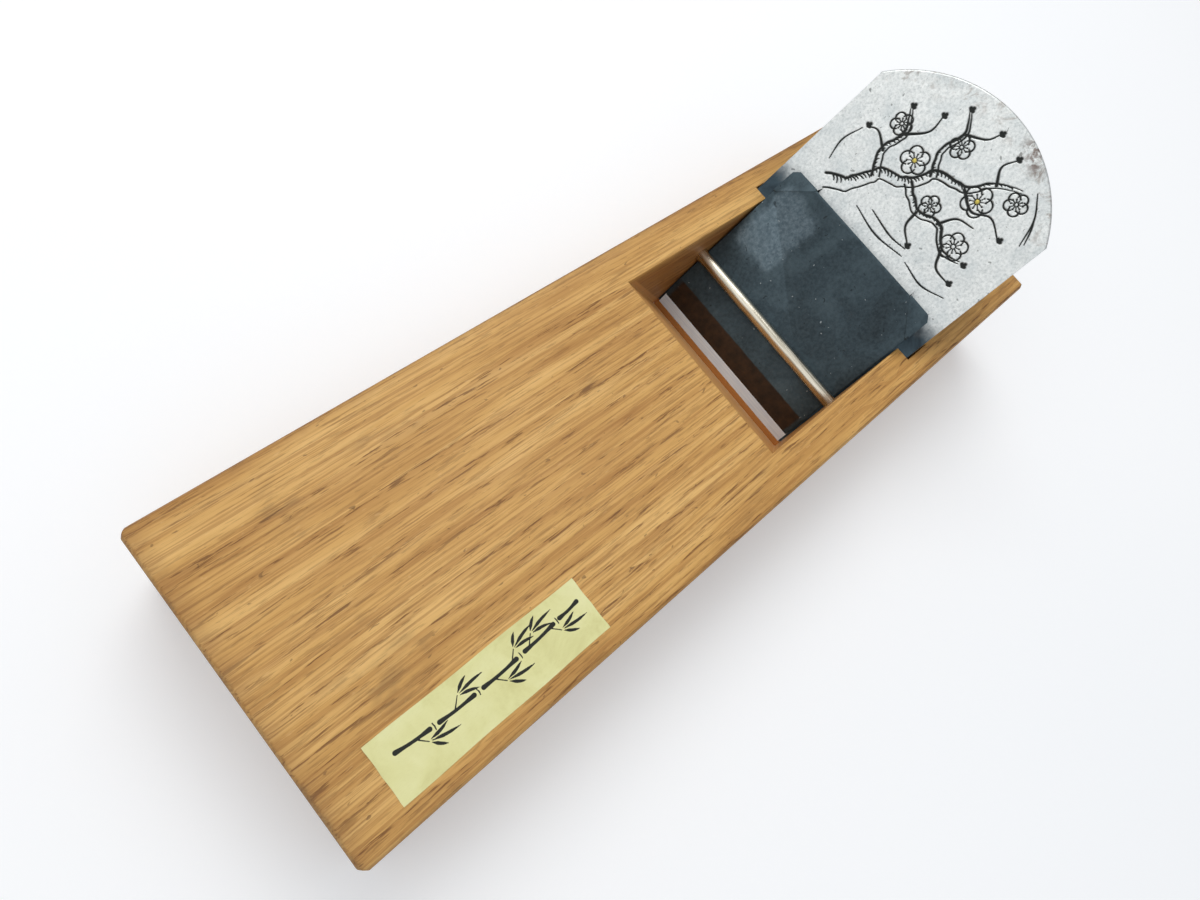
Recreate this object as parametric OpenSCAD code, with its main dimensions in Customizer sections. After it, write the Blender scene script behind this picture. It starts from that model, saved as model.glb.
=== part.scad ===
// Japanese hand plane: an oak body, a laminated main blade, a laminated
// chipbreaker, a retaining pin across the throat and a paper label.
// The body lies on its sole, its toe towards +X, its length centred on X = 0.

/* [Body] */
// Length of the body from heel to toe
body_l = 255; // [220:1:320]
// Width of the body
body_w = 82; // [78:0.5:96]
// Height of the body from sole to top
body_h = 34; // [30:0.5:40]
// Chamfer along the long edges and round the ends of the body
edge_chamfer = 0.8; // [0.3:0.1:1.5]
// Chamfer on the upright corners at the toe
toe_corner = 1.6; // [0.5:0.1:4]
// Chamfer on the upright corners at the heel
heel_corner = 2.6; // [0.5:0.1:4]
// Chamfer along the top edge of the heel, where the body is struck
heel_top_chamfer = 2; // [0.5:0.1:4]

/* [Throat] */
// Distance between the two cheek walls of the throat
throat_w = 60; // [54:0.5:63]
// Distance from the heel to the line where the blade face meets the sole
mouth_x = 97; // [90:1:130]
// Slope of the bed under the blade, measured from the sole
bed_angle = 42.5; // [40:0.5:46]
// Slope of the front wall of the throat, measured from the sole
front_angle = 51; // [46:0.5:65]
// Height of the steep lip over the mouth, at the foot of the front wall
lip_h = 5; // [3:0.5:8]
// Slope of the lip over the mouth, measured from the sole
lip_angle = 76; // [65:1:85]
// Width of the mouth in front of the cutting edge
mouth_gap = 0.6; // [0.4:0.1:2]
// Upright step that ends the bed just over the sole
bed_toe_h = 3; // [1.5:0.25:4]

/* [Blade] */
// Length of the blade from the cutting edge to the crown of its head
blade_l = 110.3; // [100:1:125]
// Width of the blade at the shoulders of its head
blade_head_w = 68.5; // [66:0.25:72]
// Width of the blade at its edge, before the corners are cut
blade_edge_w = 67.5; // [65:0.25:69]
// Thickness of the blade at the crown of its head
blade_head_t = 9.5; // [8:0.25:11]
// Angle between the two faces of the blade, which makes it a wedge
blade_wedge = 2.5; // [1:0.25:3]
// Angle of the ground bevel at the cutting edge
blade_bevel = 28; // [24:0.5:34]
// Radius of the curved head
head_radius = 43.5; // [38:0.5:80]
// Chamfer round the head on the front face
head_chamfer = 0.6; // [0.2:0.1:1.2]
// Chamfer round the head on the back face
head_back_chamfer = 1.6; // [0.5:0.1:3]
// Length of the corner ground away at each end of the cutting edge
blade_corner = 5; // [4:0.25:8]
// Thickness of the hard steel layer on the front face
blade_steel_t = 2; // [1:0.1:3]
// Length of the hard steel layer, from the cutting edge
blade_steel_l = 57; // [50:1:70]
// Depth of the hollow in the front face, at its lower end
hollow_d = 0.5; // [0.2:0.05:0.8]
// Flat land that is left between the cutting edge and the hollow
hollow_land = 6; // [4:0.5:9]
// Length of the hollow in the front face
hollow_l = 44; // [36:1:60]
// Flat land that is left on each side of the hollow
hollow_side = 7; // [4:0.5:10]
// Radius of the lower corners of the hollow
hollow_r = 12; // [6:0.5:16]
// Height of the cutting edge over the sole, with the blade drawn back
edge_lift = 0.3; // [0.1:0.05:1]

/* [Chipbreaker] */
// Length of the chipbreaker along the blade
chip_l = 56.3; // [52:0.5:70]
// Thickness of the chipbreaker at its top end
chip_top_t = 3.3; // [2.5:0.1:4]
// Thickness of the chipbreaker where its bevel starts
chip_bevel_t = 2.7; // [2:0.1:3.5]
// Length of the chipbreaker's bevel along the blade
chip_bevel_l = 10.1; // [7:0.2:13]
// Thickness of the chipbreaker's blunt front edge
chip_edge_t = 0.15; // [0.1:0.05:0.3]
// Distance of the chipbreaker's edge behind the cutting edge
chip_setback = 2.9; // [2.2:0.1:5]
// Thickness of the steel layer under the chipbreaker
chip_steel_t = 0.95; // [0.6:0.05:1.4]
// Length of the steel layer under the chipbreaker
chip_steel_l = 26; // [15:1:36]
// Height of the chipbreaker's top end over the blade, which its ears take up
ear_h = 0.9; // [0.5:0.1:1.4]
// Length of each bent ear along the sides of its corner
ear_l = 9; // [6:0.5:14]
// Small cut across each top corner of the chipbreaker
chip_corner = 1.6; // [0.5:0.1:3]
// Depth of the hollow in the underside of the chipbreaker
chip_hollow_d = 0.3; // [0.1:0.05:0.5]

/* [Pin] */
// Diameter of the retaining pin
pin_d = 4; // [3:0.25:6]
// Distance of the pin from the cutting edge, along the blade
pin_along = 22.7; // [20:0.5:34]
// Wood left over the pin's blind end, in the cheek at +Y
pin_cover = 3; // [2:0.25:6]
// Depth of the pin's other end under the outer face at -Y
pin_recess = 0.5; // [0:0.1:2]

/* [Label] */
// Length of the paper label
label_l = 55.5; // [30:0.5:80]
// Width of the paper label
label_w = 14.2; // [8:0.2:24]
// Thickness of the paper label
label_t = 0.15; // [0.1:0.05:0.3]
// Distance of the label from the toe
label_from_toe = 12.6; // [5:0.2:30]
// Distance of the label from the side at +Y
label_from_side = 4.6; // [2:0.2:20]

/* [Fits] */
// Running gap between the blade, its bed and the chipbreaker
slide_gap = 0.05; // [0.03:0.01:0.08]
// Gap between the chipbreaker and the retaining pin
pin_gap = 0.1; // [0.06:0.01:0.2]
// Side play of the blade in each groove
groove_play = 0.35; // [0.15:0.05:0.6]
// Side play of the chipbreaker between the cheeks
chip_play = 0.7; // [0.5:0.1:5]

/* [Hidden] */
$fn = 96;
// Cuts run past the faces that they open by this much
over = 5;
face_angle = bed_angle + blade_wedge;
edge_x = mouth_x - edge_lift / tan(face_angle);
// The grooves clear the widest part of the blade, the cheeks the chipbreaker
blade_w = max(blade_head_w, blade_edge_w);
groove_w = blade_w + 2 * groove_play;
chip_w = throat_w - 2 * chip_play;
chip_top = chip_setback + chip_l;
chip_bevel_top = chip_setback + chip_bevel_l;
mouth_front_x = mouth_x + mouth_gap;
lip_x = mouth_front_x + lip_h / tan(lip_angle);
throat_front_x = lip_x + (body_h - lip_h) / tan(front_angle);

// Point of the side view at s up the blade's front face from the edge,
// and off in front of that face
function on_face(s, off = 0) = [
    edge_x - s * cos(face_angle) + off * sin(face_angle),
    edge_lift + s * sin(face_angle) + off * cos(face_angle)];

// Thickness of the blade at s up from the edge, square to its front face
function blade_t(s) = blade_head_t - (blade_l - s) * tan(blade_wedge);

// Where the bevel meets the back of the blade, as s and offset
bevel_s = blade_t(0) / (tan(blade_bevel) - tan(blade_wedge));
bevel_off = -bevel_s * tan(blade_bevel);

// Point on the bed at the height z; the bed lies slide_gap under the blade
bed_start = on_face(bevel_s, bevel_off);
bed_drop = slide_gap / cos(bed_angle);
function bed_x(z) = bed_start[0] - (z - bed_start[1] + bed_drop) / tan(bed_angle);

// Point in front of the blade's face at the height z
function face_x(z) = on_face(0, slide_gap)[0]
    - (z - on_face(0, slide_gap)[1]) / tan(face_angle);

// Underside and upper side of the chipbreaker, as offsets from the blade
function chip_under(s) = slide_gap + ear_h * (s - chip_setback) / chip_l;
function chip_upper(s) = s < chip_bevel_top
    ? chip_under(s) + chip_edge_t
        + (chip_bevel_t - chip_edge_t) * (s - chip_setback) / chip_bevel_l
    : chip_under(s) + chip_bevel_t
        + (chip_top_t - chip_bevel_t) * (s - chip_bevel_top) / (chip_l - chip_bevel_l);

pin_off = chip_upper(pin_along) + pin_gap + pin_d / 2;
pin_at = on_face(pin_along, pin_off);
pin_near_y = -body_w / 2 + pin_recess;
pin_far_y = body_w / 2 - pin_cover;

// Moves what is measured from the heel into the part's frame
module placed() {
    translate([-body_l / 2, 0, 0]) children();
}

// Turns a side view in X and Z into a slab of the width w across the body
module across(w) {
    rotate([90, 0, 0]) linear_extrude(w, center = true) children();
}

// Frame of the blade: X up its front face from the edge, Z out of that face
module on_blade() {
    translate([edge_x, 0, edge_lift])
        rotate([0, face_angle, 0])
            rotate([0, 0, 180])
                children();
}

// Body
module body_block() {
    c = edge_chamfer;
    k = heel_top_chamfer;
    half_w = body_w / 2;
    intersection() {
        across(body_w)
            polygon([[c, 0], [body_l - c, 0], [body_l, c], [body_l, body_h - c],
                [body_l - c, body_h], [k, body_h], [0, body_h - k], [0, c]]);
        rotate([90, 0, 90]) linear_extrude(body_l)
            polygon([[-half_w + c, 0], [half_w - c, 0], [half_w, c],
                [half_w, body_h - c], [half_w - c, body_h], [-half_w + c, body_h],
                [-half_w, body_h - c], [-half_w, c]]);
        linear_extrude(body_h)
            polygon([[heel_corner, -half_w], [body_l - toe_corner, -half_w],
                [body_l, -half_w + toe_corner], [body_l, half_w - toe_corner],
                [body_l - toe_corner, half_w], [heel_corner, half_w],
                [0, half_w - heel_corner], [0, -half_w + heel_corner]]);
    }
}

module throat() {
    top = body_h + over;
    front_top_x = throat_front_x + over / tan(front_angle);
    across(throat_w)
        polygon([[bed_x(top), top], [bed_x(bed_toe_h), bed_toe_h],
            [bed_x(bed_toe_h), -over], [mouth_front_x, -over], [mouth_front_x, 0],
            [lip_x, lip_h], [front_top_x, top]]);
}

// Grooves in the cheeks that hold the sides of the blade
module grooves() {
    top = body_h + over;
    across(groove_w)
        polygon([[bed_x(top), top], [bed_x(-over), -over],
            [face_x(-over), -over], [face_x(top), top]]);
}

module body() {
    color("peru") placed() difference() {
        body_block();
        throat();
        grooves();
        pin_hole();
    }
}

// Blade
module blade_plan() {
    half_head = blade_head_w / 2;
    half_edge = blade_edge_w / 2;
    corner_y = half_edge - blade_corner;
    polygon([[0, -corner_y], [blade_corner, -half_edge], [blade_l, -half_head],
        [blade_l, half_head], [blade_corner, half_edge], [0, corner_y]]);
}

// Round head, chamfered on both faces; the part below its centre is square
module head_form() {
    deep = blade_head_t;
    centre_s = blade_l - head_radius;
    front = head_radius - head_chamfer;
    back = head_radius - head_back_chamfer;
    translate([centre_s, 0, 0]) {
        translate([0, 0, -head_chamfer])
            cylinder(h = head_chamfer, r1 = head_radius, r2 = front);
        translate([0, 0, -deep + head_back_chamfer])
            cylinder(h = deep - head_chamfer - head_back_chamfer, r = head_radius);
        translate([0, 0, -deep])
            cylinder(h = head_back_chamfer, r1 = back, r2 = head_radius);
    }
    translate([-over, -blade_w, -deep - over])
        cube([centre_s + over, 2 * blade_w, deep + 2 * over]);
}

module blade_hollow() {
    half_w = blade_edge_w / 2 - hollow_side;
    round_y = half_w - hollow_r;
    intersection() {
        translate([0, 0, -over]) linear_extrude(2 * over) union() {
            translate([hollow_land, -round_y]) square([hollow_r, 2 * round_y]);
            translate([hollow_land + hollow_r, -half_w])
                square([hollow_l - hollow_r, 2 * half_w]);
            translate([hollow_land + hollow_r, round_y]) circle(hollow_r);
            translate([hollow_land + hollow_r, -round_y]) circle(hollow_r);
        }
        across(blade_w)
            polygon([[hollow_land, -hollow_d], [hollow_land + hollow_l, 0],
                [hollow_land + hollow_l, over], [hollow_land, over]]);
    }
}

// Whole wedge of the blade in its own frame, iron and steel together
module blade_form() {
    difference() {
        intersection() {
            translate([0, 0, -blade_head_t]) linear_extrude(blade_head_t) blade_plan();
            head_form();
            across(2 * blade_w)
                polygon([[0, 0], [bevel_s, bevel_off], [blade_l, -blade_head_t],
                    [blade_l, 0]]);
        }
        blade_hollow();
    }
}

// Space that the steel layer takes, with a scarfed upper end
module steel_zone() {
    across(2 * blade_w)
        polygon([[-over, over], [blade_steel_l + over, over],
            [blade_steel_l - blade_steel_t, -blade_steel_t], [-over, -blade_steel_t]]);
}

module blade_iron() {
    color("silver") placed() on_blade() difference() {
        blade_form();
        steel_zone();
    }
}

module blade_steel() {
    color("lightsteelblue") placed() on_blade() intersection() {
        blade_form();
        steel_zone();
    }
}

// Chipbreaker
module chip_plan() {
    half_w = chip_w / 2;
    polygon([[chip_setback, -half_w], [chip_top - ear_l, -half_w],
        [chip_top, -half_w + ear_l], [chip_top, half_w - ear_l],
        [chip_top - ear_l, half_w], [chip_setback, half_w]]);
}

// Ear bent down until its corner rests on the blade
module ear() {
    crease = ear_l / sqrt(2);
    cut = chip_corner / sqrt(2);
    crease_s = chip_top - ear_l / 2;
    bend = asin((chip_under(crease_s) - slide_gap) / (crease - cut));
    lap = 0.6;
    translate([crease_s, chip_w / 2 - ear_l / 2, chip_under(crease_s)])
        rotate([0, 0, 45])
            rotate([0, bend, 0])
                linear_extrude(chip_top_t)
                    polygon([[-lap, -crease + lap], [0, -crease], [crease - cut, -cut],
                        [crease - cut, cut], [0, crease], [-lap, crease - lap]]);
}

module chip_hollow() {
    half_w = chip_w / 2 - hollow_side;
    start = chip_setback + chip_bevel_l / 2;
    across(2 * half_w)
        polygon([[start, 0], [start, chip_under(start)],
            [start + chip_hollow_d, chip_under(start) + chip_hollow_d],
            [chip_top - ear_l, chip_under(chip_top - ear_l)], [chip_top - ear_l, 0]]);
}

module chip_form() {
    s_top = chip_top;
    s_mid = chip_bevel_top;
    s_edge = chip_setback;
    difference() {
        union() {
            intersection() {
                linear_extrude(over + chip_top_t) chip_plan();
                across(chip_w)
                    polygon([[s_edge, chip_under(s_edge)], [s_edge, chip_upper(s_edge)],
                        [s_mid, chip_upper(s_mid)], [s_top, chip_upper(s_top)],
                        [s_top, chip_under(s_top)]]);
            }
            ear();
            mirror([0, 1, 0]) ear();
        }
        chip_hollow();
    }
}

module chip_steel_zone() {
    s_end = chip_setback + chip_steel_l;
    across(2 * chip_w)
        polygon([[0, -over], [0, chip_under(0) + chip_steel_t],
            [s_end - chip_steel_t, chip_under(s_end) + chip_steel_t],
            [s_end, chip_under(s_end)], [s_end, -over]]);
}

module chipbreaker_iron() {
    color("slategray") placed() on_blade() difference() {
        chip_form();
        chip_steel_zone();
    }
}

module chipbreaker_steel() {
    color("gainsboro") placed() on_blade() intersection() {
        chip_form();
        chip_steel_zone();
    }
}

// Retaining pin, with a through hole at -Y and a blind seat at +Y
module pin_rod(from_y, to_y) {
    translate([pin_at[0], from_y, pin_at[1]])
        rotate([-90, 0, 0])
            cylinder(h = to_y - from_y, d = pin_d);
}

module pin_hole() {
    pin_rod(-body_w / 2 - over, pin_far_y);
}

module retaining_pin() {
    color("gainsboro") placed() pin_rod(pin_near_y, pin_far_y);
}

// Paper label
module paper_label() {
    color("khaki") placed()
        translate([body_l - label_from_toe - label_l,
            body_w / 2 - label_from_side - label_w, body_h])
            cube([label_l, label_w, label_t]);
}

body();
blade_iron();
blade_steel();
chipbreaker_iron();
chipbreaker_steel();
retaining_pin();
paper_label();
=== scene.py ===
import math
import random

import bmesh
import bpy
import numpy as np
from mathutils import Matrix, Vector


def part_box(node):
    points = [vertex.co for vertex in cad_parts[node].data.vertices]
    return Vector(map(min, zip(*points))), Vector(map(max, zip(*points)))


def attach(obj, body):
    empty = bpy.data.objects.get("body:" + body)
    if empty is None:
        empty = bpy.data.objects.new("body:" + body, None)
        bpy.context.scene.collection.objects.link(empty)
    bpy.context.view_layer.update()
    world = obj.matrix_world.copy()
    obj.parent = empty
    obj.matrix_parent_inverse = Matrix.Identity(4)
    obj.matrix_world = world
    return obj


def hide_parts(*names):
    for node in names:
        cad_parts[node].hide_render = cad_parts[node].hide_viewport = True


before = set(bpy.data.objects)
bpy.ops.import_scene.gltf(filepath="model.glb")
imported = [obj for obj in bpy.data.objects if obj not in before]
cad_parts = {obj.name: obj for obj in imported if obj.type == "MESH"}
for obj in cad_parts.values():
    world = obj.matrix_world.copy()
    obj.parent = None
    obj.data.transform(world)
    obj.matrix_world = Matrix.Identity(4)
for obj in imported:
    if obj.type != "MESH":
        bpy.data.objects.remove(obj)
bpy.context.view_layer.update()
MM = 0.001
rng = random.Random(7)

# Half length, half width and height of the body
BODY_X, BODY_Y, BODY_Z = (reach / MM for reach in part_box("body")[1])
# The throat with its grooves lies within this half width, and behind this x
THROAT_Y, THROAT_X = 36.0, 2.0

# The blade's own frame: s up its front face from the edge, off out of that face
FACE = math.radians(45)
EDGE_X, EDGE_Z = -30.8, 0.3
# Length, radius of the round head, thickness at the head and taper of the wedge
BLADE_L, HEAD_R = 110.3, 43.5
HEAD_T, WEDGE = 9.5, math.tan(math.radians(2.5))
# Half widths at the edge and at the head, and the ground-off corners of the edge
EDGE_HALF, HEAD_HALF, CORNER = 33.75, 34.25, 5.0
HEAD_CENTRE = BLADE_L - HEAD_R
# Slope of the ground bevel, and the hard steel's thickness and length up the face
BEVEL = math.tan(math.radians(28))
STEEL_T, STEEL_L = 2.0, 57.0
# How far up the face the chipbreaker's edge is set, and the slope of its own bevel
CHIP_SET, CHIP_BEVEL = 2.9, 0.2685

# The photograph's camera
LENS, SENSOR = 23.4, 36.0
CAMERA_AT, CAMERA_AIM = (0.1179, 0.0231, 0.2034), (0.02643, 0.00078, 0.02)
CAMERA_ROLL = 38.662


# Node helpers
def shade(colour):
    """A colour written as 0 to 255 for each channel, or one grey, as linear light."""
    if isinstance(colour, (int, float)):
        colour = (colour,) * 3

    def linear(c):
        c = c / 255
        return c / 12.92 if c <= 0.04045 else ((c + 0.055) / 1.055) ** 2.4

    return tuple(linear(c) for c in colour) + (1.0,)


class Nodes:
    """A node tree that is built with short calls."""

    def __init__(self, owner):
        owner.use_nodes = True
        self.tree = owner.node_tree
        self.tree.nodes.clear()

    def add(self, kind, values=None, **props):
        node = self.tree.nodes.new("ShaderNode" + kind)
        for key, value in props.items():
            setattr(node, key, value)
        for key, value in (values or {}).items():
            self.put(node.inputs[key], value)
        return node

    def put(self, socket, value):
        if isinstance(value, bpy.types.NodeSocket):
            self.tree.links.new(value, socket)
        else:
            socket.default_value = value

    def math(self, op, a, b=0.0, clamp=False):
        return self.add("Math", {0: a, 1: b}, operation=op, use_clamp=clamp).outputs[0]

    def times(self, first, *others):
        for other in others:
            first = self.math("MULTIPLY", first, other)
        return first

    def plus(self, a, b):
        return self.math("ADD", a, b)

    def minus(self, a, b):
        return self.math("SUBTRACT", a, b)

    def size(self, a):
        return self.math("ABSOLUTE", a)

    def step(self, value, low, high):
        """Goes smoothly from 0 at low to 1 at high, and low may be the larger."""
        node = self.add("MapRange", {0: value, 1: low, 2: high, 3: 0.0, 4: 1.0},
                        interpolation_type="SMOOTHSTEP")
        return node.outputs[0]

    def ramp(self, value, stops):
        node = self.add("ValToRGB", {0: value})
        elements = node.color_ramp.elements
        while len(elements) < len(stops):
            elements.new(1.0)
        for element, (at, colour) in zip(elements, stops):
            element.position = at
            element.color = shade(colour)
        return node.outputs["Color"]

    def mix(self, share, a, b):
        node = self.add("Mix", data_type="RGBA", blend_type="MIX")
        self.put(node.inputs[0], share)
        for socket, value in ((node.inputs[6], a), (node.inputs[7], b)):
            self.put(socket, shade(value) if isinstance(value, tuple) else value)
        return node.outputs[2]

    def tint(self, colour, other, share, strength):
        """Colour turned into the other one, by strength where share is 1."""
        return self.mix(self.times(share, strength), colour, other)


class Paint(Nodes):
    """A surface material. Its textures lie in the part's frame, in millimetres."""

    def __init__(self, name):
        self.material = bpy.data.materials.new(name)
        super().__init__(self.material)
        self.out = self.add("OutputMaterial")
        self.skin = self.add("BsdfPrincipled")
        self.put(self.out.inputs[0], self.skin.outputs[0])
        self.place = self.add("TexCoord").outputs["Object"]

    def along(self, direction, start=0.0):
        """Millimetres along a direction of the part's frame."""
        node = self.add("VectorMath", {0: self.place, 1: [d / MM for d in direction]},
                        operation="DOT_PRODUCT")
        return self.minus(node.outputs["Value"], start)

    def blade_places(self):
        """Places s, y and off in the blade's own frame."""
        cos, sin = math.cos(FACE), math.sin(FACE)
        s = self.along((-cos, 0, sin), -EDGE_X * cos + EDGE_Z * sin)
        off = self.along((sin, 0, cos), EDGE_X * sin + EDGE_Z * cos)
        return s, self.along((0, 1, 0)), off

    def noise(self, size, detail=3.0, rough=0.5, warp=0.0, shift=(0, 0, 0)):
        """Noise whose grain is size millimetres, one number or one for each axis."""
        sizes = size if isinstance(size, tuple) else (size,) * 3
        mapping = self.add("Mapping", {"Vector": self.place, "Location": shift,
                                       "Scale": [1 / (v * MM) for v in sizes]})
        node = self.add("TexNoise", {"Vector": mapping.outputs[0], "Scale": 1.0,
                                     "Detail": detail, "Roughness": rough,
                                     "Distortion": warp})
        return node.outputs["Fac"]

    def wander(self, reach, *grain):
        """Noise round 0 that swings through about reach millimetres."""
        return self.times(self.minus(self.noise(*grain), 0.5), reach)

    def attribute(self, name):
        return self.add("Attribute", attribute_name=name).outputs["Fac"]

    def bump(self, height, depth, strength, under=None):
        """Bump of that depth in millimetres, on top of the normal under it."""
        node = self.add("Bump", {"Height": height, "Distance": depth * MM,
                                 "Strength": strength})
        if under is not None:
            self.put(node.inputs["Normal"], under)
        return node.outputs[0]

    def set(self, **values):
        """Puts values or sockets on the shader, and gives the finished material."""
        for key, value in values.items():
            value = shade(value) if isinstance(value, tuple) else value
            self.put(self.skin.inputs[key.replace("_", " ")], value)
        return self.material


# Oak: its rings, what lies in the grain, what use has left, and painted shade in the throat
OAK_DARK, OAK_MID, OAK_PALE = (184, 134, 68), (214, 166, 94), (236, 192, 120)
OAK_EARLY, OAK_HAIR, OAK_PORE, OAK_RAY = (166, 112, 52), (160, 108, 50), (110, 68, 26), (232, 192, 132)
OAK_SMUDGE, OAK_DENT = (112, 84, 52), (84, 52, 26)
OAK_RIM, OAK_GREY, OAK_SOLE = (128, 84, 44), (104, 84, 60), (206, 160, 104)
# The throat's red is partly the wood's own oiled tone and partly painted shade
THROAT_TONE_AND_SHADE, THROAT_PALE = (134, 74, 34), (212, 158, 96)
# Place of the pith, beyond one side and under the sole, and the width of a growth ring
PITH_Y, PITH_Z, RING = -46, -34, 2.6


def oak():
    p = Paint("oak")
    x, y, z = (p.along(d) for d in ((1, 0, 0), (0, 1, 0), (0, 0, 1)))
    # Growth rings that sway along the length and curl on the label's side
    sway = p.wander(16, (150, 22, 22), 2)
    curl = p.times(p.wander(7, (30, 7, 7), 2), p.step(y, 2, 38))
    dy = p.plus(p.plus(y, -PITH_Y), p.plus(sway, curl))
    dz = p.plus(z, -PITH_Z)
    ring = p.math("SQRT", p.plus(p.times(dy, dy), p.times(dz, dz)))
    early = p.minus(1.0, p.step(p.math("FRACT", p.math("DIVIDE", ring, RING)), 0.0, 0.55))
    # Pores are long dashes along x and dots on the ends
    dashes = p.step(p.noise((8, 0.52, 0.52), 3, 0.6, 0.1), 0.54, 0.63)
    hairs = p.step(p.noise((46, 0.62, 0.62), 4, 0.7), 0.47, 0.60)
    pores = p.times(dashes, p.plus(p.times(early, 0.65), 0.38))
    wood = p.ramp(p.noise((60, 5, 5), 4, 0.55, 0.4),
                  [(0.25, OAK_DARK), (0.5, OAK_MID), (0.75, OAK_PALE)])
    wood = p.tint(wood, OAK_EARLY, early, 0.38)
    wood = p.tint(wood, OAK_HAIR, hairs, 0.50)
    wood = p.tint(wood, OAK_PORE, pores, 0.78)
    # Pale flecks of the rays
    flecks = p.step(p.noise((3.2, 0.8, 5), 2, 0.5, 0.3, (5, 3, 1)), 0.66, 0.74)
    wood = p.tint(wood, OAK_RAY, flecks, 0.22)
    # Handling marks and small dark dents
    smudge = p.times(p.step(p.noise((34, 22, 22), 3, 0.6, 0.3, (2, 9, 4)), 0.57, 0.76),
                     p.step(p.noise((7, 2.2, 2.2), 3), 0.38, 0.62))
    wood = p.tint(wood, OAK_SMUDGE, smudge, 0.42)
    dents = p.step(p.noise((2.8, 1.1, 1.1), 1, 0.5, 0.6, (4, 1, 7)), 0.73, 0.78)
    wood = p.tint(wood, OAK_DENT, dents, 0.5)
    # Worn rims: brown towards the sides and ends, greyer on the outermost millimetre
    wobble = p.wander(5, 6, 4, 0.6)
    side, end = (p.plus(p.size(v), wobble) for v in (y, x))
    rim = p.math("MAXIMUM", p.step(side, BODY_Y - 3.5, BODY_Y + 2.0),
                 p.step(end, BODY_X - 6.5, BODY_X + 2.0))
    wood = p.tint(wood, OAK_RIM, rim, 0.42)
    outermost = p.math("MAXIMUM", p.step(end, BODY_X - 1.3, BODY_X + 0.9),
                       p.step(side, BODY_Y - 0.8, BODY_Y + 2.4))
    wood = p.tint(wood, OAK_GREY, outermost, 0.42)
    # The walls of the throat are darker and redder, partly their own oiled tone and partly painted shade
    # that starts just below the top; its front wall is tinted back to pale wood
    inside = p.times(p.math("LESS_THAN", p.size(y), THROAT_Y), p.math("LESS_THAN", x, THROAT_X),
                     p.step(z, BODY_Z - 0.3, BODY_Z - 4.0), p.math("GREATER_THAN", z, 0.2))
    before_front = p.minus(p.times(x, 1.235), z)
    front = p.times(inside, p.step(before_front, -43.5, -42.5))
    wood = p.tint(wood, THROAT_TONE_AND_SHADE, inside, 0.50)
    wood = p.tint(wood, THROAT_PALE, front, 0.70)
    wood = p.tint(wood, OAK_SOLE, p.step(z, 0.4, 0.1), 0.35)
    relief = p.plus(p.times(pores, -1.0), p.times(hairs, -0.35))
    normal = p.bump(p.noise((14, 3, 3), 3), 0.10, 0.25, p.bump(relief, 0.06, 0.55))
    rough = p.plus(0.43, p.times(p.noise((20, 3, 3), 3), 0.2))
    return p.set(Base_Color=wood, Roughness=rough, Normal=normal, Specular_IOR_Level=0.42)


# Blade: the cleaned head, what stains it, the forge scale, the ground faces and the painted reflection on
# the land
HEAD_DULL, HEAD_MID, HEAD_BRIGHT = (190, 196, 196), (222, 226, 225), (242, 245, 244)
HEAD_CLOUD, HEAD_PIT, HEAD_STAIN, HEAD_RUST = (176, 188, 192), (92, 96, 94), (120, 98, 80), (92, 60, 42)
SCALE_DARK, SCALE_MID, SCALE_PALE = (38, 50, 58), (66, 84, 94), (104, 124, 134)
# The last colour is a painted reflection of the wood on the polished land before the chipbreaker
LAP_PALE, LAP_GREY, LAND_WOOD_REFLECTION = (226, 228, 228), (178, 184, 188), (214, 158, 96)
SKIN_DARK, SKIN_MID, SKIN_PALE, SKIN_HEAD = (44, 42, 42), (84, 80, 76), (126, 116, 104), (96, 92, 88)
IRON_DARK, IRON_PALE = (128, 130, 130), (172, 174, 174)
STEEL_DARK, STEEL_PALE = (186, 190, 192), (224, 226, 228)
CUT, BRASS = (34, 38, 36), (206, 190, 96)


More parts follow.
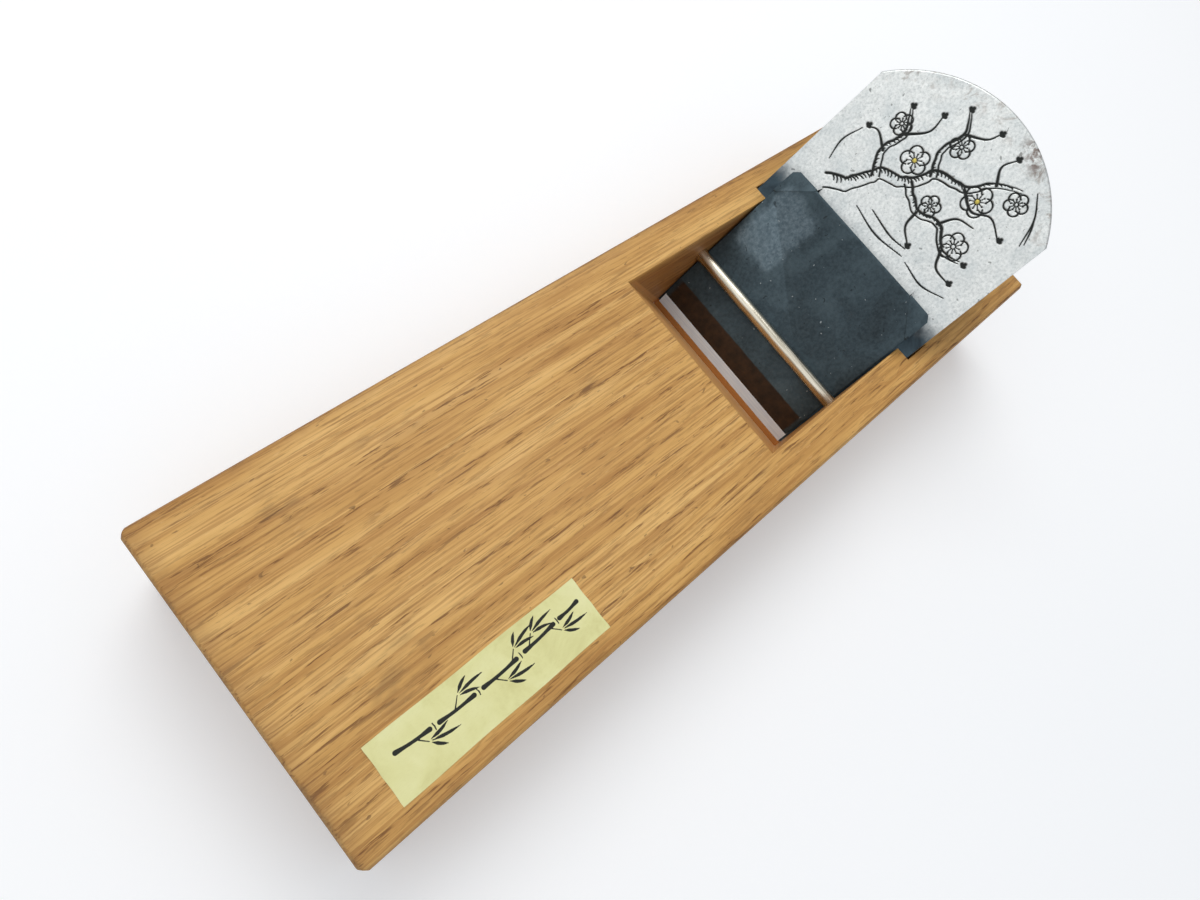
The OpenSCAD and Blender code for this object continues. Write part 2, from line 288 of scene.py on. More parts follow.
def blade_paint(name):
    """Forged iron and steel: bright head, dark scale low on the face, dull back."""
    p = Paint(name)
    s, y, off = p.blade_places()
    fine = p.noise(0.8, 5, 0.7)
    cloud = p.noise(9, 4, 0.6, 0.5)
    bright = p.ramp(fine, [(0.30, HEAD_DULL), (0.48, HEAD_MID), (0.66, HEAD_BRIGHT)])
    bright = p.tint(bright, HEAD_CLOUD, p.step(cloud, 0.42, 0.75), 0.35)
    pits = p.step(p.noise(1.5, 2, 0.5, 0.4, (3, 8, 5)), 0.69, 0.74)
    bright = p.tint(bright, HEAD_PIT, pits, 0.65)
    # Brown stains along the rim of the head, and one patch of rust
    arc = p.add("CombineXYZ", {0: p.minus(s, HEAD_CENTRE), 1: y})
    reach = p.add("VectorMath", {0: arc.outputs[0]}, operation="LENGTH").outputs["Value"]
    near_rim = p.times(p.step(reach, HEAD_R - 9, HEAD_R - 1), p.step(s, 86, 98))
    stain = p.times(near_rim, p.step(p.noise(5, 4, 0.7, 0.8, (1, 4, 2)), 0.50, 0.68))
    bright = p.tint(bright, HEAD_STAIN, stain, 0.60)
    rusty = p.times(p.step(p.size(p.minus(y, 12.5)), 6.5, 2.0),
                    p.step(reach, HEAD_R - 5.5, HEAD_R - 2.5), p.step(s, 90, 96))
    rust = p.times(rusty, p.step(p.noise(2.2, 4, 0.7, 0.5, (9, 4, 2)), 0.42, 0.60))
    bright = p.tint(bright, HEAD_RUST, rust, 0.75)
    # Dark scale up to the ragged line where the head was cleaned
    scale = p.ramp(cloud, [(0.30, SCALE_DARK), (0.55, SCALE_MID), (0.80, SCALE_PALE)])
    ragged = p.plus(s, p.wander(5, 3, 3))
    cleaned = p.step(ragged, 53.0, 62.0)
    face = p.mix(cleaned, scale, bright)
    # Polished hollow under the chipbreaker, and the land before its edge, painted warm as a reflection of
    # the wood
    lap = p.tint(LAP_PALE, LAP_GREY, p.noise((0.5, 14, 0.5), 3), 0.5)
    land = p.step(s, CHIP_SET + 0.5, CHIP_SET)
    hollow = p.times(p.step(ragged, 48.0, 43.5), p.step(p.size(y), 28.4, 27.0))
    polished = p.math("MAXIMUM", hollow, land)
    face = p.mix(polished, face, p.mix(land, lap, LAND_WOOD_REFLECTION))
    # Back and sides: brown-black forge skin, greyer round the head
    skin = p.ramp(p.noise(3.5, 5, 0.65, 0.4),
                  [(0.3, SKIN_DARK), (0.55, SKIN_MID), (0.8, SKIN_PALE)])
    front = p.step(off, -1.4, -0.5)
    colour = p.mix(front, p.tint(skin, SKIN_HEAD, p.step(s, 92, 97), 0.5), face)
    # Ground bevel, where the hard steel is brighter than the iron
    ground = p.step(p.plus(p.times(s, BEVEL), off), 0.25, 0.06)
    streak = p.noise((0.4, 20, 0.4), 3)
    iron = p.ramp(streak, [(0.3, IRON_DARK), (0.7, IRON_PALE)])
    steel = p.ramp(streak, [(0.3, STEEL_DARK), (0.7, STEEL_PALE)])
    weld = p.plus(off, p.wander(0.5, 4, 2))
    colour = p.mix(ground, colour,
                   p.mix(p.step(weld, -STEEL_T - 0.1, -STEEL_T + 0.1), iron, steel))
    cut = p.attribute("cut")
    colour = p.mix(p.math("MULTIPLY", cut, 1.25, clamp=True), colour, CUT)
    colour = p.mix(p.attribute("brass"), colour, BRASS)
    bare = p.times(front, polished)
    rough = p.plus(0.34, p.times(fine, 0.22))
    rough = p.plus(rough, p.times(p.minus(1.0, front), 0.14))
    rough = p.plus(rough, p.times(cut, 0.25))
    rough = p.minus(rough, p.times(bare, 0.30))
    metal = p.minus(0.86, p.times(cut, 0.5))
    metal = p.minus(metal, p.times(p.minus(1.0, cleaned), front, 0.18))
    rugged = p.minus(1.0, bare)
    normal = p.bump(p.times(fine, rugged), 0.05, 0.45)
    normal = p.bump(p.times(cloud, rugged), 0.25, 0.35, normal)
    return p.set(Base_Color=colour, Roughness=rough, Metallic=metal, Normal=normal)


# Chipbreaker: its scale, the rubbed patch, marks, the painted reflection on the bevel and the painted
# reflection on the ground edge
SLATE_DARK, SLATE_MID, SLATE_PALE = (40, 52, 58), (58, 74, 82), (84, 102, 110)
GRAIN_DARK, GRAIN_PALE = (40, 50, 56), (92, 108, 116)
RUBBED_DARK, RUBBED_PALE = (92, 110, 120), (132, 150, 160)
MARK_DARK, MARK_PALE = (26, 32, 36), (172, 182, 186)
# The bevel's dark and brown colours are a painted reflection of the brown wood
BEVEL_REFLECTION_DARK, BEVEL_REFLECTION_BROWN = (30, 21, 14), (64, 44, 28)
# The ground edge's blue and white are a painted reflection of the bright sky; its grey is the steel's own
EDGE_GREY, EDGE_SKY_BLUE_REFLECTION, EDGE_SKY_WHITE_REFLECTION = (150, 156, 162), (216, 230, 246), (238, 248, 255)


def chip_iron_paint():
    """Dark mottled scale, with a painted reflection of the brown wood on the bevel."""
    p = Paint("chipbreaker_iron")
    s, y, off = p.blade_places()
    cloud = p.noise(13, 5, 0.62, 0.6)
    fine = p.noise(1.1, 4, 0.65)
    slate = p.ramp(cloud, [(0.28, SLATE_DARK), (0.5, SLATE_MID), (0.72, SLATE_PALE)])
    slate = p.mix(0.30, slate, p.ramp(fine, [(0.35, GRAIN_DARK), (0.65, GRAIN_PALE)]))
    # Rubbed patch away from the label's side, and a few small pale and dark marks
    ragged = p.wander(6, 4, 4, 0.6)
    patch_y, patch_s = p.plus(y, ragged), p.plus(s, ragged)
    patch = p.times(p.step(patch_y, -29, -26), p.step(patch_y, -11, -14),
                    p.step(patch_s, 31, 35), p.step(patch_s, 56, 52))
    rubbed = p.ramp(fine, [(0.35, RUBBED_DARK), (0.65, RUBBED_PALE)])
    slate = p.tint(slate, rubbed, patch, 0.62)
    marks = p.step(p.noise(1.9, 2, 0.5, 0.5, (6, 2, 8)), 0.70, 0.74)
    slate = p.tint(slate, MARK_DARK, marks, 0.6)
    chips = p.step(p.noise(1.3, 1, 0.5, 0.4, (1, 7, 3)), 0.76, 0.79)
    slate = p.tint(slate, MARK_PALE, chips, 0.8)
    # Painted reflection of the brown wood on the bevel, as a band which ends short of the sides
    reflection_band = p.times(p.step(p.plus(s, p.times(ragged, 0.1)), 13.3, 12.7),
                   p.step(p.plus(p.size(y), p.times(ragged, 0.15)), 28.6, 27.4))
    reflected_brown = p.ramp(p.noise(2.4, 4, 0.6), [(0.3, BEVEL_REFLECTION_DARK), (0.7, BEVEL_REFLECTION_BROWN)])
    rough = p.plus(0.42, p.times(fine, 0.25))
    metal = p.minus(0.62, p.times(reflection_band, 0.45))
    normal = p.bump(p.plus(p.times(fine, 0.3), cloud), 0.30, 0.35)
    return p.set(Base_Color=p.mix(reflection_band, slate, reflected_brown), Roughness=rough, Metallic=metal,
                 Normal=normal)


def chip_steel_paint():
    """Grey steel, with a painted reflection of the bright sky on its ground edge."""
    p = Paint("chipbreaker_steel")
    s, y, off = p.blade_places()
    cloud = p.noise(13, 5, 0.62, 0.6)
    fine = p.noise(1.1, 4, 0.65)
    streak = p.noise((0.35, 12, 0.35), 3, 0.6)
    # Painted reflection of the bright sky: the ground edge is near white and blue, and nearly not metallic
    bright = p.ramp(streak, [(0.3, EDGE_SKY_BLUE_REFLECTION), (0.6, EDGE_SKY_WHITE_REFLECTION)])
    above_bevel = p.minus(off, p.times(p.minus(s, CHIP_SET), CHIP_BEVEL))
    ground = p.step(above_bevel, 0.08, 0.16)
    rough = p.plus(0.30, p.times(streak, 0.14))
    metal = p.minus(0.9, p.times(ground, 0.86))
    normal = p.bump(p.plus(p.times(fine, 0.3), cloud), 0.30, 0.20)
    return p.set(Base_Color=p.mix(ground, EDGE_GREY, bright), Roughness=rough, Metallic=metal,
                 Normal=normal)


# Pin of bright steel, and the paper of the label with its ink
PIN_DULL, PIN_MID, PIN_BRIGHT, PIN_SPOT = (176, 170, 152), (222, 216, 200), (240, 236, 224), (110, 100, 80)
PAPER_DULL, PAPER_MID, PAPER_PALE = (214, 210, 146), (228, 226, 164), (238, 237, 184)
PAPER_FIBRE, INK = (196, 186, 118), (22, 26, 20)


def pin_paint():
    p = Paint("pin_steel")
    turned = p.noise((0.5, 9, 0.5), 3, 0.6)
    colour = p.ramp(turned, [(0.3, PIN_DULL), (0.55, PIN_MID), (0.8, PIN_BRIGHT)])
    spots = p.step(p.noise(1.2, 3, 0.6, 0.3, (4, 4, 1)), 0.66, 0.76)
    return p.set(Base_Color=p.tint(colour, PIN_SPOT, spots, 0.4), Metallic=1.0,
                 Roughness=p.plus(0.20, p.times(turned, 0.16)), Normal=p.bump(turned, 0.02, 0.3))


def paper_paint():
    p = Paint("label_paper")
    colour = p.ramp(p.noise(11, 4, 0.6, 0.6),
                    [(0.3, PAPER_DULL), (0.5, PAPER_MID), (0.75, PAPER_PALE)])
    fibre = p.noise((0.9, 0.12, 0.9), 3, 0.6, 0.5)
    colour = p.tint(colour, PAPER_FIBRE, p.step(fibre, 0.5, 0.75), 0.18)
    ink = p.attribute("ink")
    colour = p.mix(p.step(ink, 0.42, 0.66), colour, INK)
    return p.set(Base_Color=colour, Roughness=p.minus(0.62, p.times(ink, 0.12)),
                 Normal=p.bump(fibre, 0.02, 0.3), Specular_IOR_Level=0.35)


# Mesh helpers
def add_piece(name, mesh, material, body, node, sharp=32):
    """A piece that stands for a CAD node. Edges over sharp degrees stay sharp."""
    mesh.materials.clear()
    mesh.materials.append(material)
    mesh.polygons.foreach_set("use_smooth", [True] * len(mesh.polygons))
    mesh.set_sharp_from_angle(angle=math.radians(sharp))
    piece = bpy.data.objects.new(name, mesh)
    bpy.context.scene.collection.objects.link(piece)
    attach(piece, body)
    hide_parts(node)


# Points nearer than this, in millimetres, are one, and faces this near to level are one
SAME_PLACE, LEVEL = 0.001, math.radians(0.6)


def worn_copy(node, width, least=20):
    """The CAD form of a node with edges over least degrees broken by width millimetres."""
    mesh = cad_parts[node].data.copy()
    bm = bmesh.new()
    bm.from_mesh(mesh)
    bmesh.ops.remove_doubles(bm, verts=bm.verts, dist=SAME_PLACE * MM)
    bmesh.ops.dissolve_limit(bm, angle_limit=LEVEL, verts=bm.verts, edges=bm.edges)
    edges = [e for e in bm.edges if len(e.link_faces) == 2
             and math.degrees(e.calc_face_angle(0)) > least]
    bmesh.ops.bevel(bm, geom=edges, offset=width * MM, segments=2, profile=0.6,
                    affect="EDGES", clamp_overlap=False)
    bm.normal_update()
    bm.to_mesh(mesh)
    bm.free()
    return mesh


def new_mesh(name, points, faces, **values):
    """A mesh of points in metres, with the values at each point under their names."""
    mesh = bpy.data.meshes.new(name)
    mesh.from_pydata(points.tolist(), [], faces)
    for key, value in values.items():
        layer = mesh.attributes.new(key, "FLOAT", "POINT")
        layer.data.foreach_set("value", value.ravel().astype(np.float32))
    return mesh


def curve(points, pitch):
    """A smooth line through points, as samples about pitch apart."""
    pts = np.array(points, float)
    ends = np.vstack([2 * pts[0] - pts[1], pts, 2 * pts[-1] - pts[-2]])
    out = []
    for a, b, c, d in zip(ends, ends[1:], ends[2:], ends[3:]):
        count = max(2, int(np.linalg.norm(c - b) / pitch))
        t = np.linspace(0, 1, count, endpoint=False)[:, None]
        out.append(0.5 * (2 * b + (c - a) * t + (2 * a - 5 * b + 4 * c - d) * t ** 2
                          + (3 * b - a - 3 * c + d) * t ** 3))
    return np.vstack(out + [pts[-1:]])


def spread(widths, count):
    """Half widths at count samples of a line whose widths run through the given ones."""
    return np.interp(np.linspace(0, 1, count), np.linspace(0, 1, len(widths)), widths) / 2


class Plate:
    """Points of a flat picture, with the depth from 0 to 1 that strokes leave on them."""

    # Millimetres between a stroke's samples, and the least half width of its point
    PITCH, POINT = 0.12, 0.02
    # Pairs of a point and a stroke's sample that are worked out at once
    BATCH = 4000000

    def __init__(self, across, up):
        self.across, self.up = across, up
        self.cut = np.zeros(across.shape)

    def stroke(self, points, widths, power=1.0):
        """A chisel or brush stroke whose width in millimetres runs through widths."""
        line = curve(points, self.PITCH)
        half = spread(widths, len(line))
        reach = max(widths) / 2
        low, high = line.min(0) - reach, line.max(0) + reach
        near = np.nonzero((self.across > low[0]) & (self.across < high[0])
                          & (self.up > low[1]) & (self.up < high[1]))[0]
        for part in np.array_split(near, max(1, len(near) * len(line) // self.BATCH)):
            if len(part) == 0:
                continue
            gap = np.hypot(self.across[part, None] - line[None, :, 0],
                           self.up[part, None] - line[None, :, 1])
            depth = np.clip(1 - gap / np.maximum(half, self.POINT)[None, :], 0, 1) * 2
            self.cut[part] = np.maximum(self.cut[part], np.minimum(depth.max(1), 1) ** power)


def polar(y, s, r, angle):
    return y + r * math.cos(angle), s + r * math.sin(angle)


# Engraving of the blade's head: places are (y, s) and sizes are millimetres
BOUGHS = (([(-22, 63), (-16, 68), (-12.5, 75), (-5, 79), (-1, 86), (7, 88.5), (12, 95), (18, 98.5)],
           [4.2, 3.6, 3.0, 2.6, 2.0, 1.4, 0.8]),
          ([(-12.8, 74), (-17, 80), (-16, 87), (-20.5, 93)], [2.2, 1.6, 1.1, 0.6]),
          ([(-1.5, 85), (-5.5, 91), (-4.5, 98), (-8.5, 103)], [1.7, 1.3, 0.9, 0.5]),
          ([(-5, 79), (3, 75.5), (9.5, 77.5), (16, 73.5), (23, 75)], [2.0, 1.5, 1.1, 0.6]))
TWIGS = ([(7, 88.5), (13, 86), (18, 88.5), (24, 86)], [(-16, 87), (-12, 92), (-12.5, 97)],
         [(9.5, 77.5), (12, 82), (17, 83.5)], [(16, 73.5), (19, 69.5), (24.5, 69)],
         [(-17, 80), (-22, 82.5), (-25, 81.5)], [(-4.5, 98), (0.5, 101), (2, 104.5)],
         [(3, 75.5), (4, 71), (8.5, 68)], [(12, 95), (9, 99), (10.5, 103)])
BUDS = ((-20.5, 93.4), (-8.6, 103.3), (24.4, 86.2), (-12.5, 97.4), (2.2, 104.6),
        (24.8, 69.2), (23.4, 75.2), (-25.2, 81.7), (10.6, 103.3), (8.8, 67.8))
WIND = ([(-10, 65), (0, 63.5), (10, 64.8)], [(-6, 67.4), (3, 66.2), (9, 66.8)],
        [(12, 64.4), (20, 63.4), (27, 65.6)], [(-26, 68), (-27.5, 74), (-26, 80)],
        [(21, 101), (26, 96), (29, 89)], [(24, 98.5), (27.5, 94), (29.6, 90)])
# Each blossom's place, radius and turn. The first ones have a brass dot in the middle
BLOSSOMS = ((12, 88.8, 4.3, 0.3), (-8.6, 84.2, 4.0, 1.0), (17.4, 76.6, 3.9, 0.7),
            (-19, 88.2, 3.1, 0.1), (-2.6, 95.2, 3.3, 0.9), (19.6, 95.4, 3.2, 0.2),
            (4.2, 79.2, 3.0, 0.5))
BRASS_DOTS, BRASS_R = 2, 0.62


def blossom(plate, y, s, r, turn):
    """A plum blossom seen from the front: five round petals, stamens and a centre."""
    petals, petal_at, petal_r, width = 5, 0.56 * r, 0.46 * r, 0.66
    for k in range(petals):
        a = turn + k * math.tau / petals
        middle = polar(y, s, petal_at, a)
        arc = [a + math.radians(v) for v in range(-118, 119, 14)]
        plate.stroke([polar(*middle, petal_r, b) for b in arc],
                     [0.7 * width, width, 0.75 * width, width, 0.7 * width])
    stamens, root_r, short_r, long_r = 10, 0.20 * r, 0.46 * r, 0.54 * r
    for k in range(stamens):
        a = turn + 0.3 + k * math.tau / stamens
        tip = polar(y, s, short_r if k % 2 else long_r, a)
        plate.stroke([polar(y, s, root_r, a), tip], [0.36, 0.30])
        plate.stroke([tip, (tip[0] + 0.02, tip[1])], [0.62, 0.62])
    centre_r = 0.17 * r
    plate.stroke([polar(y, s, centre_r, b) for b in np.linspace(0, math.tau, 13)], [0.4, 0.4])


def bough(plate, points, widths):
    """A gnarled bough: two tapering outlines and bark cuts on its shaded side."""
    line = curve(points, 0.5)
    step = np.gradient(line, axis=0)
    step /= np.linalg.norm(step, axis=1)[:, None]
    side = np.stack([-step[:, 1], step[:, 0]], 1)
    half = spread(widths, len(line))
    share = np.linspace(0, 1, len(line))
    lumps = 0.16 * np.sin(share * 47) + 0.10 * np.sin(share * 91 + 1)
    for sign, thick in ((1, 1.0), (-1, 0.62)):
        edge = line + side * (sign * half * (1 + sign * lumps))[:, None]
        plate.stroke(edge[::3], [thick, thick * 0.8, thick * 1.1, 0.3])
    # Bark cuts start just inside the outline and stop where the bough is a twig
    inside, twig = 0.95, 0.5
    for k in range(4, len(line) - 6, 2):
        if half[k] < twig:
            break
        start = line[k] + side[k] * half[k] * inside
        reach = rng.uniform(0.5, 1.25)
        end = line[k] + side[k] * half[k] * (inside - reach) + step[k] * rng.uniform(0.4, 0.9)
        plate.stroke([start, (start + end) / 2 + step[k] * 0.2, end], [0.62, 0.5, 0.26])


def engrave(plate):
    """A flowering plum branch with wind lines."""
    for points, widths in BOUGHS:
        bough(plate, points, widths)
    for points in TWIGS:
        plate.stroke(points, [1.1, 0.75, 0.4])
    for place in BLOSSOMS:
        blossom(plate, *place)
    for y, s in BUDS:
        for dy, ds in ((-0.55, 0.1), (0.1, 0.6), (0.5, -0.1)):
            plate.stroke([(y, s - 0.6), (y + dy, s + ds)], [0.5, 1.3])
    for points in WIND:
        plate.stroke(points, [0.3, 0.62, 0.3])


# Blade iron: rows across the width that go once round the wedge
GRID = 0.17
FRONT_CHAMFER, BACK_CHAMFER = 0.6, 1.6
# The broken edge along each side: its depth, and where it starts as a share of the width
SIDE_BREAK, SIDE_V = 0.22, 0.9965
# Over the head's front rim and down its edge: how far inwards, and how far off the face
HEAD_EDGE = ((0.3, -0.22), (0.08, -0.42), (0, -0.75), (0, -2.5), (0, -5.0), (0, -7.2))
# Rows along the weld to the hard steel, how many go down the back, and the bevel's last s
WELD_ROWS = (STEEL_T / BEVEL, 5.0, 20.0, 40.0, 55.0)
BACK_ROWS = 40
BEVEL_LOW = 3.9
# Depth of the engraving and of the face's waves, and a brass dot's middle and its fall
CUT_DEPTH, WAVE_DEPTH = 0.28, 0.02
DOT_TOP, DOT_FALL = 0.02, 0.10


def half_width(s):
    taper = EDGE_HALF + (HEAD_HALF - EDGE_HALF) * (s - CORNER) / (BLADE_L - CORNER)
    return np.where(s < CORNER, EDGE_HALF - CORNER + s, taper)


def thickness(s):
    return HEAD_T - (BLADE_L - s) * WEDGE


def to_frame(s, y, off):
    x = EDGE_X - s * math.cos(FACE) + off * math.sin(FACE)
    z = EDGE_Z + s * math.sin(FACE) + off * math.cos(FACE)
    return np.stack([x, y, z], -1) * MM


def head_line(v, radius):
    """Places s of a round line across the head, for v from -1 to 1 across the width."""
    y = v * (HEAD_HALF - 0.1)
    return HEAD_CENTRE + np.sqrt(np.maximum(radius ** 2 - y ** 2, 0))


def iron_rows(v):
    """Places s and off of all rows, and which of the rows are the bright face."""
    level = np.ones(v.shape)
    inset = np.where(np.abs(v) > SIDE_V, SIDE_BREAK, 0.0)
    # Up the weld to the steel layer
    rows = [(s * level, -STEEL_T * level) for s in WELD_ROWS]
    # Up the bright face, on a grid fine enough for the engraving
    first = len(rows)
    face_top = head_line(v, HEAD_R - FRONT_CHAMFER)
    for t in np.linspace(0, 1, int((BLADE_L - STEEL_L) / GRID)):
        rows.append((STEEL_L + t * (face_top - STEEL_L), -inset))
    face = slice(first, len(rows))
    # Over the head's rounded front rim, its edge and the chamfer at the back
    for inward, off in HEAD_EDGE:
        rows.append((head_line(v, HEAD_R - inward), off * level))
    head_t = thickness(head_line(v, HEAD_R - BACK_CHAMFER))
    rows.append((head_line(v, HEAD_R), np.minimum(-7.3, 0.25 - head_t) + 0.02))
    rows.append((head_line(v, HEAD_R - 0.4), -head_t + 0.25))
    # Down the back to the bevel, and down the bevel to the weld
    bevel_top = thickness(0) / (BEVEL - WEDGE)
    for t in np.linspace(0, 1, BACK_ROWS):
        s = head_line(v, HEAD_R - 0.9) * (1 - t) + bevel_top * t
        rows.append((s, -thickness(s) + inset))
    for t in (0.3, 0.65):
        s = bevel_top * (1 - t) + BEVEL_LOW * t
        rows.append((s * level, -s * BEVEL * level))
    return np.stack([row[0] for row in rows]), np.stack([row[1] for row in rows]), face


def forge_waves(s, y):
    """Depth of the hammered face's slow waves, fading out at its lower end and its rim."""
    waves = (np.sin(s * 0.9 + 1.3 * np.sin(y * 0.31)) + np.sin(y * 0.83 + s * 0.37)
             + np.sin(s * 0.23 - y * 0.51))
    fade = np.clip((s - STEEL_L) / 3, 0, 1) * np.clip((s.max(0)[None] - s) / 2, 0, 1)
    return fade * WAVE_DEPTH * (waves + 3)


def iron_mesh():
    v = np.linspace(-1, 1, int(2 * HEAD_HALF / GRID))
    v = np.concatenate([[-1.0, -SIDE_V], v[(v > -0.99) & (v < 0.99)], [SIDE_V, 1.0]])
    s, off, face = iron_rows(v)
    y = v[None, :] * half_width(s)
    plate = Plate(y[face].ravel(), s[face].ravel())
    engrave(plate)
    cut = np.zeros(s.shape)
    cut[face] = plate.cut.reshape(s[face].shape)
    off[face] -= forge_waves(s[face], y[face]) + CUT_DEPTH * cut[face]
    brass = np.zeros(s.shape)
    for dot_y, dot_s, _, _ in BLOSSOMS[:BRASS_DOTS]:
        gap = np.hypot(y[face] - dot_y, s[face] - dot_s)
        inside = gap < BRASS_R
        brass[face][inside] = 1.0
        off[face][inside] = (-DOT_TOP - DOT_FALL * (gap / BRASS_R) ** 2)[inside]
    cut[brass > 0] = 0
    index = np.arange(s.size).reshape(s.shape)
    above = np.roll(index, -1, axis=0)
    quads = np.stack([index[:, :-1], index[:, 1:], above[:, 1:], above[:, :-1]], -1)
    faces = quads.reshape(-1, 4).tolist() + [index[:, 0].tolist(), index[::-1, -1].tolist()]
    mesh = new_mesh("blade_iron_form", to_frame(s, y, off).reshape(-1, 3), faces,
                    cut=cut, brass=brass)
    bm = bmesh.new()
    bm.from_mesh(mesh)
    bmesh.ops.recalc_face_normals(bm, faces=bm.faces)
    bm.to_mesh(mesh)
    bm.free()
    return mesh


# Paper label: places are (along, across) from its middle, in millimetres
STALK = ((-24.5, -2.2), (-14.5, -1.2), (-3.5, -0.8), (8.0, -1.0), (19.0, -1.8), (26.0, -2.4))
# Each tuft's root, its side of the stalk and its tilt in degrees
TUFTS = ((-19, -1.6, 1, 24), (-9.5, -1.0, -1, 10), (0.5, -0.8, 1, 16), (10.5, -1.2, -1, 22),
         (16.5, -1.6, 1, 12), (5.5, -0.9, -1, 30))
# Turn in degrees and length of the leaves of a tuft
LEAVES = ((-4, 7.4), (34, 5.4), (-40, 5.6))
# A brush's stroke stays black nearly to its sides
BRUSH = 0.6
PAPER_T = 0.075


def bamboo(plate):
    """A brushed bamboo stalk in segments, with rings at its joints and tufts of leaves."""
    for a, b in zip(STALK, STALK[1:]):
        dx, dy = 0.11 * (b[0] - a[0]), 0.11 * (b[1] - a[1])
        start, end = (a[0] + dx, a[1] + dy), (b[0] - dx, b[1] - dy)
        mid = ((start[0] + end[0]) / 2, (start[1] + end[1]) / 2 + 0.15)
        plate.stroke([start, mid, end], [1.35, 0.95, 0.9, 0.95, 1.35], BRUSH)
    for x, y in STALK[1:-1]:
        plate.stroke([(x - 0.1, y - 0.75), (x, y), (x - 0.1, y + 0.75)], [0.3, 0.42, 0.3], BRUSH)
    for x, y, side, tilt in TUFTS:
        out = (x + 2.0, y + 2.1 * side)
        plate.stroke([(x, y), out], [0.4, 0.3], BRUSH)
        for turn, size in LEAVES:
            a = math.radians(turn + tilt) * side
            root = polar(*out, 0.5, a)
            tip = (out[0] + size * math.cos(a), out[1] + 0.62 * size * math.sin(a))
            mid = ((root[0] + tip[0]) / 2, (root[1] + tip[1]) / 2 + 0.2 * side)
            plate.stroke([root, mid, tip], [0.15, 0.95, 0.8, 0.05], BRUSH)


def label_mesh():
    """Thin paper that wanders at its cut sides, waves a little and lifts at one corner."""
    low, high = (np.array(corner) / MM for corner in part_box("paper_label"))
    middle, half = (low + high) / 2, (high - low) / 2
    # Points along and across, about 0.15 mm apart
    nx, ny = 370, 96
    x, y = np.meshgrid(np.linspace(low[0], high[0], nx), np.linspace(low[1], high[1], ny),
                       indexing="ij")
    u, w = x - middle[0], y - middle[1]
    # The paper was cut by hand, so its sides wander a little inside the rectangle
    x = x - 0.12 * np.abs(np.sin(w * 0.5)) * u / half[0]
    y = y - (0.10 + 0.08 * np.sin(u * 0.21)) * w / half[1]
    plate = Plate(-u.ravel(), w.ravel())
    bamboo(plate)
    waves = 0.03 * np.sin(u * 0.42 + 0.5 * w) ** 2 + 0.02 * np.sin(w * 0.9 + u * 0.11) ** 2
    crease = 0.05 * np.exp(-((u - 17 + 0.22 * w) / 0.5) ** 2)
    lifted = 0.30 * np.clip((u - 22) / 5.7 + (-w - 3) / 5, 0, 2) ** 2 / 4
    top = low[2] + 0.08 + waves + crease + lifted
    upper = np.stack([x, y, top], -1).reshape(-1, 3)
    under = np.stack([x, y, top - PAPER_T], -1).reshape(-1, 3)
    n = nx * ny
    index = np.arange(n).reshape(nx, ny)
    quads = np.stack([index[:-1, :-1], index[1:, :-1], index[1:, 1:], index[:-1, 1:]],
                     -1).reshape(-1, 4)
    rim = np.concatenate([index[:-1, 0], index[-1, :-1], index[:0:-1, -1], index[0, :0:-1]])
    wall = np.stack([rim, np.roll(rim, -1), np.roll(rim, -1) + n, rim + n], -1)[:, ::-1]
    faces = quads.tolist() + (quads[:, ::-1] + n).tolist() + wall.tolist()
    return new_mesh("label_form", np.vstack([upper, under]) * MM, faces,
                    ink=np.tile(plate.cut, 2))


# Pieces
add_piece("oak_body", worn_copy("body", 0.35), oak(), "stock", "body")
add_piece("cross_pin", worn_copy("retaining_pin", 0.3, least=40), pin_paint(), "stock",
          "retaining_pin")
add_piece("paper_slip", label_mesh(), paper_paint(), "stock", "paper_label", 50)
add_piece("engraved_iron", iron_mesh(), blade_paint("blade_iron"), "blade", "blade_iron",
          50)
add_piece("chip_plate", worn_copy("chipbreaker_iron", 0.18, least=12),
          chip_iron_paint(), "chipbreaker", "chipbreaker_iron")
for node, material in (("blade_steel", blade_paint("blade_steel")),
                       ("chipbreaker_steel", chip_steel_paint())):
    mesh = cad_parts[node].data
    mesh.materials.clear()
    mesh.materials.append(material)


# Floor, light and camera, in metres and watts
FLOOR_DULL, FLOOR_PALE, FLOOR_GLOW = (247, 249, 251), (251, 252, 253), (236, 243, 255)
FLOOR_REACH, FLOOR_GRAIN, GLOW = 3.0, 400, 0.12
SKY_LOW, SKY_HIGH, SKY_LEVEL, BACKDROP = (150, 156, 164), (255, 255, 255), 0.62, 252


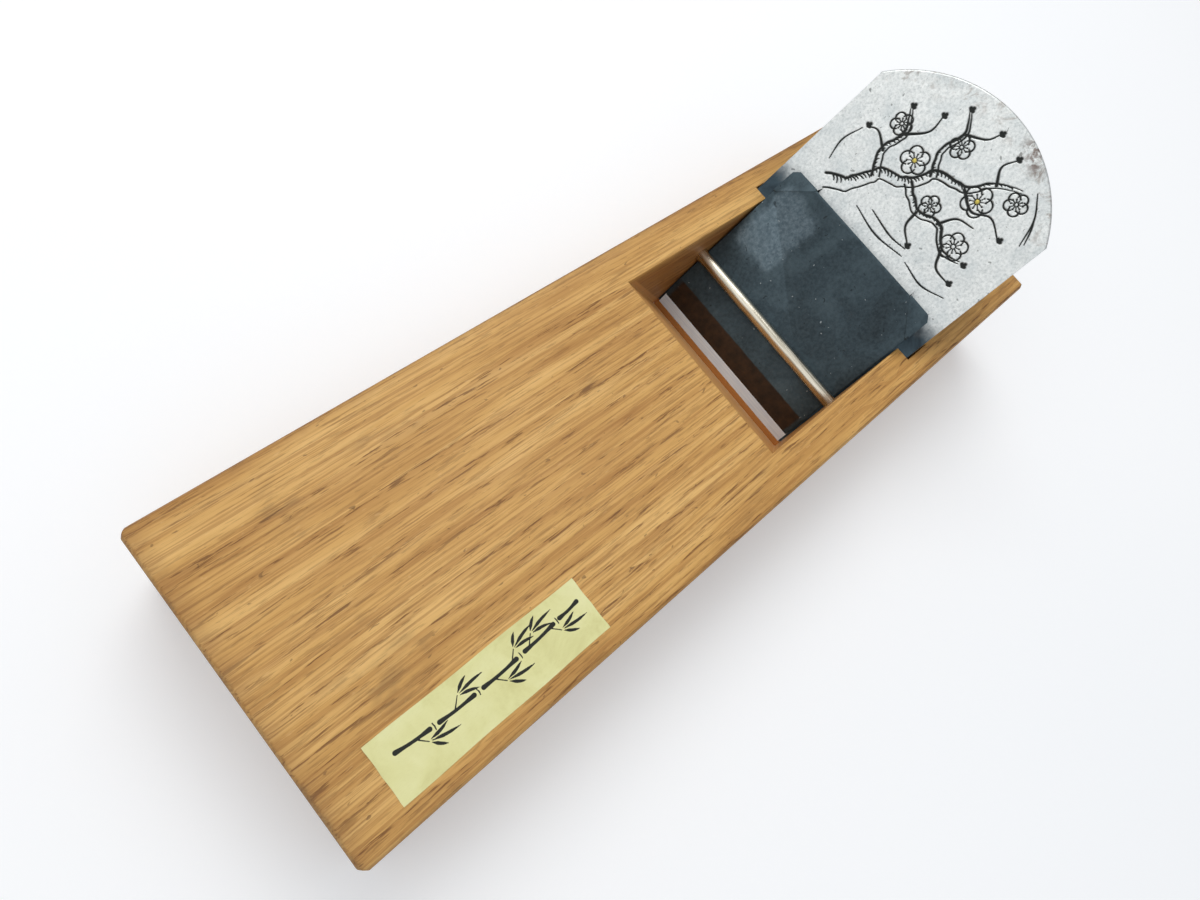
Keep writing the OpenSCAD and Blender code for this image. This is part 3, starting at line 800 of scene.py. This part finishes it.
def floor():
    """A pale matt floor that the camera sees a little brighter than it is lit."""
    r = FLOOR_REACH
    mesh = bpy.data.meshes.new("floor_form")
    mesh.from_pydata([(-r, -r, 0), (r, -r, 0), (r, r, 0), (-r, r, 0)], [], [(0, 1, 2, 3)])
    p = Paint("floor")
    p.set(Base_Color=p.ramp(p.noise(FLOOR_GRAIN, 2), [(0.3, FLOOR_DULL), (0.7, FLOOR_PALE)]),
          Roughness=0.9, Specular_IOR_Level=0.1)
    seen = p.add("LightPath").outputs["Is Camera Ray"]
    glow = p.add("Emission", {"Color": shade(FLOOR_GLOW), "Strength": p.times(seen, GLOW)})
    total = p.add("AddShader", {0: p.skin.outputs[0], 1: glow.outputs[0]})
    p.put(p.out.inputs[0], total.outputs[0])
    mesh.materials.append(p.material)
    plane = bpy.data.objects.new("floor", mesh)
    bpy.context.scene.collection.objects.link(plane)


def sky():
    """Soft light that grows paler upwards, seen by the camera as a plain white backdrop."""
    world = bpy.data.worlds.new("studio")
    n = Nodes(world)
    height = n.add("SeparateXYZ", {0: n.add("TexCoord").outputs["Generated"]}).outputs["Z"]
    light = n.add("Background", {"Color": n.ramp(height, [(0.0, SKY_LOW), (0.75, SKY_HIGH)]),
                                 "Strength": SKY_LEVEL})
    backdrop = n.add("Background", {"Color": shade(BACKDROP)})
    seen = n.add("LightPath").outputs["Is Camera Ray"]
    both = n.add("MixShader", {0: seen, 1: light.outputs[0], 2: backdrop.outputs[0]})
    n.add("OutputWorld", {0: both.outputs[0]})
    bpy.context.scene.world = world


def lamp(name, place, aim, size, power, colour):
    data = bpy.data.lights.new(name, "AREA")
    data.shape, data.size = "SQUARE", size
    data.energy, data.color = power, colour
    light = bpy.data.objects.new(name, data)
    light.location = place
    light.rotation_euler = (Vector(aim) - Vector(place)).to_track_quat("-Z", "Y").to_euler()
    bpy.context.scene.collection.objects.link(light)


def camera():
    data = bpy.data.cameras.new("camera")
    data.sensor_width, data.lens = SENSOR, LENS
    data.clip_start = 0.01
    cam = bpy.data.objects.new("camera", data)
    place, aim = Vector(CAMERA_AT), Vector(CAMERA_AIM)
    level = (aim - place).to_track_quat("-Z", "Y").to_matrix().to_4x4()
    turn = Matrix.Rotation(math.radians(CAMERA_ROLL), 4, "Z")
    cam.matrix_world = Matrix.Translation(place) @ level @ turn
    bpy.context.scene.collection.objects.link(cam)
    bpy.context.scene.camera = cam


floor()
sky()
lamp("key", (-0.26, -0.46, 0.80), (0, 0, 0.02), 0.6, 3.0, (1.0, 0.99, 0.97))
lamp("front", (0.50, -0.08, 0.90), (-0.05, 0, 0.03), 1.3, 2.4, (0.985, 0.99, 1.0))
camera()
bpy.context.scene.view_settings.view_transform = "Standard"
